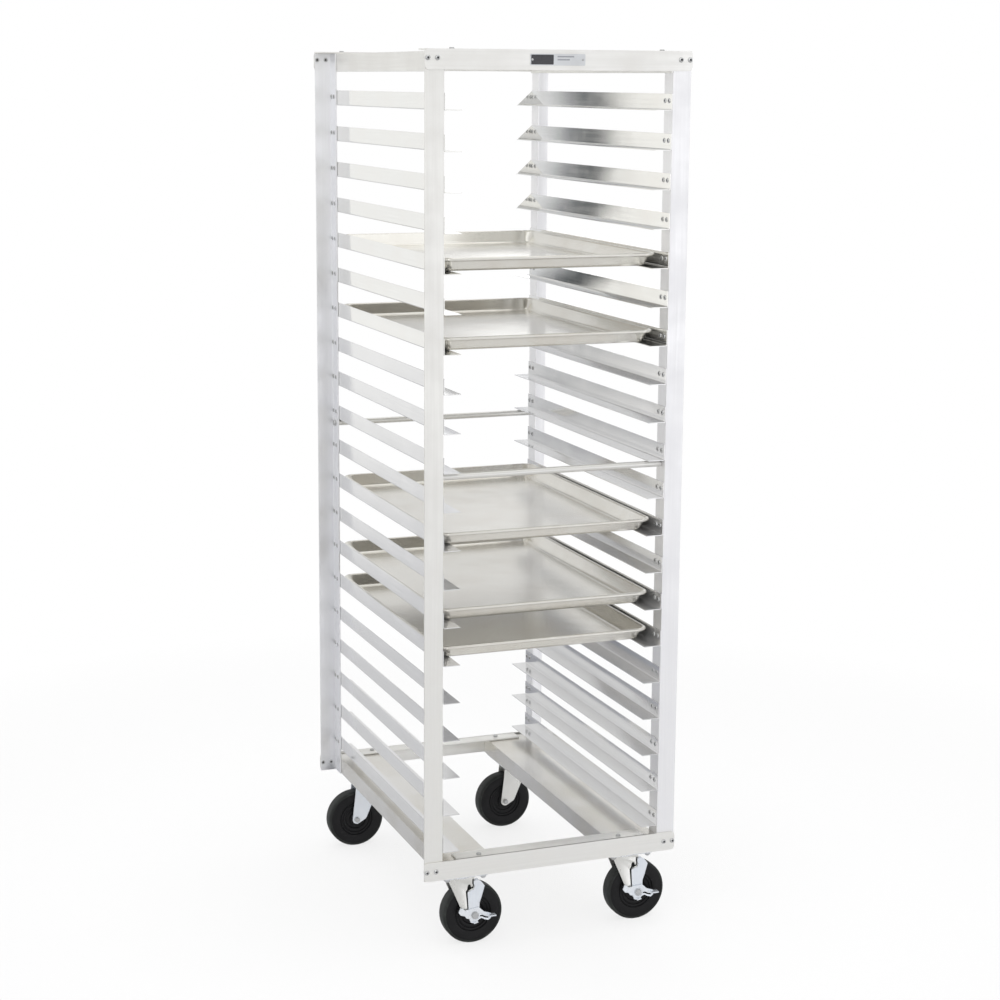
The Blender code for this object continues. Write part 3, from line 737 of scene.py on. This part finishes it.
def dress_slides():
    """Forty separate slides, each riveted through the posts at both ends."""
    for side in (LEFT, RIGHT):
        rivets = {end: Rivets(f"post_{END_NAME[end]}_{SIDE_NAME[side]}") for end in (FRONT, REAR)}
        for first in range(1, LEVELS + 1, 2):
            node = f"slides_{SIDE_NAME[side]}_{first:02d}_{first + 1:02d}"
            low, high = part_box(node)
            face = high.x if side == RIGHT else low.x
            ledge = high.x - low.x
            for level in (first, first + 1):
                top = high.z - (level - first) * PITCH
                builder = bmesh.new()
                add_prism(builder, slide_outline(side, face, ledge, top), "Y", low.y, high.y)
                if level <= LEVELS_WITH_STOPS:
                    add_rear_stop(builder, side, face, ledge, top, high.y)
                name = f"slide_{SIDE_NAME[side]}_{level:02d}"
                # Lower levels take the rougher slide metal whose colour carries painted shade.
                finish = slide_metal if level <= LEVELS_SMOOTH_UNSHADED else low_slide_rough_shaded_metal
                add_piece(name, builder, finish, "rack", (node,), edge=SLIDE_EDGE)
                rows = [(FRONT, low.y + inset) for inset in RIVETS_FROM_FRONT]
                rows += [(REAR, high.y - inset) for inset in RIVETS_FROM_REAR]
                for end, y in rows:
                    height = top - RIVET_DROP
                    inner = (face - side * SLIDE_WALL, y, height)
                    outer = (face + side * (PART_GAP + ANGLE_WALL), y, height)
                    rivets[end].add(inner, (-side, 0, 0), RIVET_HEAD)
                    rivets[end].add(outer, (side, 0, 0), RIVET_HEAD)
        for group in rivets.values():
            group.finish(rivet_metal)


# ---------------------------------------------------------------- pans


def pan_section():
    """Distance in from the rim and height, up the outside, round the rolled bead and down the inside."""
    foot = Vector((PAN_FOOT, 0.0))
    shoulder = Vector((PAN_SHOULDER, PAN_HEIGHT - 1.75 * BEAD_RADIUS))
    slope = (shoulder - foot).normalized()
    section = curve(foot + Vector((PAN_FILLET, 0.0)), foot, foot + slope * PAN_FILLET, 6)
    section.append(shoulder)
    bead_in = BEAD_RADIUS
    bead_up = PAN_HEIGHT - BEAD_RADIUS
    for step in range(BEAD_STEPS + 1):
        angle = math.radians(BEAD_START - BEAD_SWEEP * step / BEAD_STEPS)
        section.append((bead_in + BEAD_RADIUS * math.cos(angle), bead_up + BEAD_RADIUS * math.sin(angle)))
    across = Vector((slope.y, -slope.x)) * PAN_SHEET
    section.append(shoulder + across + slope * 0.06 * INCH)
    inner_foot = foot + Vector((PAN_SHEET * 1.2, PAN_SHEET))
    inner_rise = inner_foot + slope * PAN_FILLET
    section += curve(inner_rise, inner_foot, inner_foot + Vector((PAN_FILLET, 0.0)), 6)
    return section


# A dark strip of painted shade in the crease below the rolled bead: inset from the rim and drop from its top.
RIM_CREASE_SHADE = (
    (0.2 * INCH, 0.262 * INCH),
    (0.2 * INCH, 0.285 * INCH),
    (0.34 * INCH, 0.285 * INCH),
    (0.34 * INCH, 0.262 * INCH),
)


def add_rim_loops(builder, low, high, section):
    """Round-cornered loops within the pan's box, one for each inset and height of the section."""
    centre = (low + high) / 2
    half_x = (high.x - low.x) / 2
    half_y = (high.y - low.y) / 2
    loops = []
    for inset, height in section:
        radius = max(PAN_CORNER - 0.8 * inset, PAN_LEAST_CORNER)
        outline = rounded_rectangle(centre.x, centre.y, half_x - inset, half_y - inset, radius, 10)
        loops.append([builder.verts.new((x, y, height)) for x, y in outline])
    return loops


def dress_pans():
    for node in sorted(name for name in frame["nodes"] if name.startswith("pan_")):
        low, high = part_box(node)
        builder = bmesh.new()
        section = [(inset, low.z + height) for inset, height in pan_section()]
        loops = add_rim_loops(builder, low, high, section)
        for lower, upper in zip(loops, loops[1:]):
            bridge(builder, lower, upper)
        builder.faces.new(loops[0])
        builder.faces.new(loops[-1])
        add_piece(node + "_finish", builder, pan_metal, BODY_OF[node], (node,))
        # A dark strip in the crease under the bead: painted shade.
        crease_shade = bmesh.new()
        loops = add_rim_loops(crease_shade, low, high, [(inset, high.z - drop) for inset, drop in RIM_CREASE_SHADE])
        for index, loop in enumerate(loops):
            bridge(crease_shade, loop, loops[(index + 1) % len(loops)])
        add_piece(node + "_rim_crease_shade", crease_shade, mandrel_and_crease_shade_steel, BODY_OF[node])


# ---------------------------------------------------------------- casters


def ring_profile(half_profile):
    """Turned points in metres from one side's (radius, half width) in inches, closed over both sides."""
    profile = [(radius * INCH, -half * INCH) for radius, half in half_profile]
    return profile + [(radius * INCH, half * INCH) for radius, half in reversed(half_profile)]


# Hub, dished web with two rings, and side of the rim: radius and half width in inches.
WHEEL_FACE = (
    (0.32, 0.62), (0.52, 0.62), (0.57, 0.58), (0.6, 0.4), (0.66, 0.36), (0.9, 0.36), (0.97, 0.45),
    (1.16, 0.47), (1.2, 0.43), (1.25, 0.43), (1.29, 0.5), (1.40, 0.52), (1.43, 0.47), (1.47, 0.47),
    (1.52, 0.56), (1.62, 0.58), (2.2, 0.59), (2.24, 0.57), (2.3, 0.56),
)
# The rounded tread, in the same measures.
WHEEL_TREAD = (
    (2.25, 0.5), (2.27, 0.58), (2.3, 0.6), (2.35, 0.6), (2.4, 0.585), (2.46, 0.53), (2.485, 0.47), (2.5, 0.3),
)


def dress_wheel(name):
    """A face and a tread in two rubbers, and a bearing sleeve through the hub. Returns the wheel's centre."""
    low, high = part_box(name + "_wheel")
    centre = (low + high) / 2
    matrix = facing(centre, (0, 1, 0))
    body = BODY_OF[name + "_wheel"]
    for part, profile, material in (("face", WHEEL_FACE, wheel_rubber), ("tread", WHEEL_TREAD, tread_rubber)):
        builder = bmesh.new()
        add_turned(builder, ring_profile(profile), 96, matrix, ring=True)
        add_piece(f"{name}_wheel_{part}", builder, material, body, (name + "_wheel",))
    sleeve = bmesh.new()
    profile = (
        (BEARING_BORE, -BEARING_HALF),
        (BEARING_RADIUS, -BEARING_HALF),
        (BEARING_RADIUS, BEARING_HALF),
        (BEARING_BORE, BEARING_HALF),
    )
    add_turned(sleeve, profile, 40, matrix, ring=True)
    add_piece(name + "_bearing", sleeve, fastener_metal, body, edge=0.0002)
    return centre


# The raceway under the plate and the kingpin below it: radius and drop in inches.
RACEWAY = ((1.30, 0.10), (1.26, 0.16), (1.20, 0.17), (1.17, 0.21), (1.12, 0.29), (0.26, 0.29), (0.25, 0.60))


def dress_plate(name, swivel):
    """The bolted plate, its raceway and the kingpin's nut."""
    node = name + "_plate"
    low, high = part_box(node)
    centre = (low + high) / 2
    under = high.z - PLATE_WALL
    plate = bmesh.new()
    half = (high - low) / 2
    outline = rounded_rectangle(centre.x, centre.y, half.x, half.y, PLATE_CORNER, 6)
    add_prism(plate, outline, "Z", under, high.z)
    add_piece(name + "_plate_finish", plate, zinc, "rack", (node,), edge=0.0004)
    race = bmesh.new()
    profile = [(RACEWAY[0][0] * INCH, under + 0.0005)]
    profile += [(radius * INCH, under - drop * INCH) for radius, drop in RACEWAY]
    add_turned(race, profile, 64, Matrix.Translation((swivel.x, swivel.y, 0)))
    add_piece(name + "_raceway", race, zinc, "rack")
    bolts = bmesh.new()
    place = (swivel.x, swivel.y, under - KINGPIN_NUT_DROP)
    add_hex(bolts, place, (0, 0, -1), KINGPIN_NUT_SIZE, 0.12 * INCH)
    for x in (-PLATE_BOLT_X, PLATE_BOLT_X):
        for y in (-PLATE_BOLT_Y, PLATE_BOLT_Y):
            place = (swivel.x + x, swivel.y + y, under)
            add_hex(bolts, place, (0, 0, -1), PLATE_BOLT_SIZE, 0.2 * INCH, 0.12 * INCH)
    add_piece(name + "_plate_bolts", bolts, fastener_metal, "rack")


# The gap that opens along the brake arm's edge, in inches right of and above the axle.
FORK_GAP = (
    (-0.55, 0.45), (-0.60, 1.0), (-0.70, 1.97), (-0.58, 2.14), (-0.55, 2.40), (-0.47, 2.54), (-0.35, 2.54),
    (-0.28, 2.44), (-0.25, 2.30), (-0.16, 2.28), (-0.10, 2.40), (-0.16, 2.6), (-0.16, 2.95), (0.0, 2.95),
    (0.0, 2.5), (-0.05, 2.2), (-0.25, 2.15), (-0.5, 2.0), (-0.48, 0.45),
)


def about_axle(axle, points):
    """Outline points in metres from places in inches right of and above the axle."""
    return [(axle.x + right * INCH, axle.z + up * INCH) for right, up in points]


def dress_fork(name, swivel, axle, has_brake):
    """A round crown with a rolled edge between two tapered legs."""
    node = name + "_fork"
    body = BODY_OF[node]
    low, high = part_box(node)
    plating = zinc if name == BLUE_FORK else warm_zinc
    fork = refined(node, plating, edge=0.0006)
    if has_brake:
        gap = bmesh.new()
        outline = round_corners(about_axle(axle, FORK_GAP), 0.05 * INCH, 3)
        add_prism(gap, outline, "Y", low.y - 0.001, axle.y - FORK_GAP_DEPTH)
        cut(fork, "gap_behind_brake_arm", gap)
    rim = bmesh.new()
    profile = []
    for step in range(CROWN_RIM_STEPS):
        angle = 2 * math.pi * step / CROWN_RIM_STEPS
        radius = CROWN_RADIUS + CROWN_RIM * math.cos(angle)
        profile.append((radius, high.z - CROWN_RIM_DROP + CROWN_RIM * math.sin(angle)))
    add_turned(rim, profile, 64, Matrix.Translation((swivel.x, swivel.y, 0)), ring=True)
    add_piece(name + "_crown_rim", rim, zinc, body)


def dress_axle(name, axle, head_size):
    """A bolt through hub and fork: hexagon head at the front, nut at the rear."""
    node = name + "_axle"
    low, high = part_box(node)
    bolt = bmesh.new()
    head_face = low.y + AXLE_HEAD_INSET
    nut_face = high.y - AXLE_NUT_INSET
    add_turned(bolt, ((AXLE_RADIUS, head_face), (AXLE_RADIUS, nut_face)), 24, along_y(axle))
    add_hex(bolt, (axle.x, head_face, axle.z), (0, -1, 0), head_size, 0.2 * INCH)
    add_hex(bolt, (axle.x, nut_face, axle.z), (0, 1, 0), AXLE_NUT_SIZE, 0.2 * INCH, 0.08 * INCH)
    add_piece(name + "_axle_finish", bolt, fastener_metal, BODY_OF[node], (node,))


def along_y(axle):
    """Heights of a turned profile become places along Y through the axle."""
    return Matrix.Translation((axle.x, 0, axle.z)) @ Matrix.Rotation(-math.pi / 2, 4, "X")


# Outlines on the brake lever, in inches right of and above the axle.
PEDAL_SLOT = (
    (0.42, -0.06), (0.62, -0.05), (0.9, -0.2), (1.16, -0.27),
    (1.16, -0.4), (0.86, -0.33), (0.58, -0.18), (0.42, -0.18),
)
LEVER_TAB = ((-0.14, -0.56), (0.22, -0.50), (0.22, -0.58), (-0.14, -0.66))


def dress_brake(name, axle):
    """The fixed arm, and the pedal with its slot, its boss and the tab below it."""
    refined(name + "_brake_arm", zinc, edge=0.0005)
    node = name + "_brake_lever"
    lever = refined(node, zinc, edge=0.0006)
    low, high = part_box(node)
    slot_cutter = bmesh.new()
    outline = round_corners(about_axle(axle, PEDAL_SLOT), 0.06 * INCH, 3)
    add_prism(slot_cutter, outline, "Y", low.y - 0.01, high.y + 0.0002)
    cut(lever, "pedal_slot", slot_cutter)
    details = bmesh.new()
    face = low.y + LEVER_TREAD
    inner = 0.33 * INCH
    outer = 0.43 * INCH
    boss = ((inner, -0.001), (outer, -0.001), (outer, 0.0006), (0.38 * INCH, 0.0016), (inner, 0.0006))
    add_turned(details, boss, 40, facing((axle.x, face, axle.z), (0, -1, 0)), ring=True)
    add_prism(details, about_axle(axle, LEVER_TAB), "Y", face - 0.3 * INCH, face + 0.0004)
    add_piece(name + "_brake_lever_boss", details, zinc, BODY_OF[node], edge=0.0002)


def dress_casters():
    joints = {joint["name"]: joint for joint in frame["joints"]}
    for end in (FRONT, REAR):
        for side in (LEFT, RIGHT):
            name = f"caster_{END_NAME[end]}_{SIDE_NAME[side]}"
            swivel = Vector(joints[name + "_swivel"]["pos_m"])
            axle = dress_wheel(name)
            dress_plate(name, swivel)
            dress_fork(name, swivel, axle, end == FRONT)
            dress_axle(name, axle, AXLE_HEAD_SIZE[end])
            if end == FRONT:
                dress_brake(name, axle)


# ---------------------------------------------------------------- studio


def add_floor():
    """A pale disc that fades out into the white surroundings."""
    builder = bmesh.new()
    bmesh.ops.create_circle(builder, cap_ends=True, segments=96, radius=FLOOR_RADIUS)
    mesh = bpy.data.meshes.new("studio_floor")
    builder.to_mesh(mesh)
    builder.free()
    floor = bpy.data.objects.new("studio_floor", mesh)
    bpy.context.scene.collection.objects.link(floor)
    material = bpy.data.materials.new("floor_white")
    tree = NodeTree(material)
    shader = tree.nodes["Principled BSDF"]
    shader.inputs["Base Color"].default_value = (0.93, 0.93, 0.935, 1.0)
    shader.inputs["Roughness"].default_value = 0.9
    shader.inputs["Specular IOR Level"].default_value = 0.1
    place = tree.add("ShaderNodeTexCoord")
    distance = tree.add("ShaderNodeVectorMath", operation="LENGTH")
    tree.link(place.outputs["Object"], distance.inputs[0])
    fade = (FLOOR_FADE[0] * FLOOR_RADIUS, FLOOR_FADE[1] * FLOOR_RADIUS)
    cover = tree.spread(distance.outputs["Value"], FLOOR_COVER, 0.0, fade)
    tree.link(cover, shader.inputs["Alpha"])
    mesh.materials.append(material)


def fill_ramp(ramp, stops):
    """Sets a colour ramp's stops, given as (position, colour)."""
    elements = ramp.color_ramp.elements
    elements.remove(elements[1])
    elements[0].position = stops[0][0]
    elements[0].color = (*stops[0][1], 1.0)
    for position, colour in stops[1:]:
        elements.new(position).color = (*colour, 1.0)


def add_world():
    """White to the camera, and even to rough surfaces. What the metal reflects is a pale room: dim and bright
    with height, with a darker side and a window at the front, a dark doorway at the rear left, a dark floor
    behind and a bright horizon at the rear right."""
    world = bpy.data.worlds.new("studio")
    bpy.context.scene.world = world
    tree = NodeTree(world)
    direction = tree.add("ShaderNodeTexCoord").outputs["Generated"]

    def along(axis):
        dot = tree.add("ShaderNodeVectorMath", operation="DOT_PRODUCT")
        tree.link(direction, dot.inputs[0])
        dot.inputs[1].default_value = axis
        return dot.outputs["Value"]

    def share_of(area):
        share = None
        for axis, outside, inside in area:
            fade = tree.spread(along(axis), 0.0, 1.0, (outside, inside))
            if share is None:
                share = fade
            else:
                product = tree.add("ShaderNodeMath", operation="MULTIPLY")
                tree.link(share, product.inputs[0])
                tree.link(fade, product.inputs[1])
                share = product.outputs["Value"]
        return share

    def ramp(axis, reach, stops):
        node = tree.add("ShaderNodeValToRGB")
        tree.link(tree.spread(along(axis), 0.0, 1.0, (-reach, reach)), node.inputs["Fac"])
        fill_ramp(node, stops)
        return node.outputs["Color"]

    room = ramp(UP, 1.0, ROOM_BY_HEIGHT)
    across = ramp(ACROSS_DOORWAY, DOORWAY_REACH, ROOM_ACROSS_DOORWAY)
    room = tree.between(share_of(DOORWAY_AREA), room, across)
    for area, colour in ROOM_AREAS:
        room = tree.between(share_of(area), room, colour)
    ray = tree.add("ShaderNodeLightPath")
    lit = tree.between(ray.outputs["Is Diffuse Ray"], room, DIFFUSE_WHITE)
    shown = tree.between(ray.outputs["Is Camera Ray"], lit, (1.0, 1.0, 1.0))
    tree.link(shown, tree.nodes["Background"].inputs["Color"])


def add_area_light(name, place, target, size, energy, colour):
    data = bpy.data.lights.new(name, "AREA")
    data.size = size
    data.energy = energy
    data.color = colour
    light = bpy.data.objects.new(name, data)
    light.location = place
    light.rotation_euler = (Vector(target) - Vector(place)).to_track_quat("-Z", "Y").to_euler()
    bpy.context.scene.collection.objects.link(light)


def add_camera():
    data = bpy.data.cameras.new("camera")
    data.lens = CAMERA_LENS
    data.shift_x, data.shift_y = CAMERA_SHIFT
    data.clip_end = 100.0
    camera = bpy.data.objects.new("camera", data)
    heading = Matrix.Rotation(-CAMERA_HEADING, 4, "Z")
    tilt = Matrix.Rotation(math.pi / 2 + CAMERA_TILT, 4, "X")
    roll = Matrix.Rotation(CAMERA_ROLL, 4, "Z")
    camera.matrix_world = Matrix.Translation(CAMERA_PLACE) @ heading @ tilt @ roll
    bpy.context.scene.collection.objects.link(camera)
    bpy.context.scene.camera = camera


dress_posts()
dress_rails()
add_rail_fasteners()
dress_tie_rods()
dress_nameplate()
dress_slides()
dress_pans()
dress_casters()
add_floor()
add_world()
for light in LIGHTS:
    add_area_light(*light)
add_camera()
bpy.context.scene.view_settings.view_transform = "Standard"
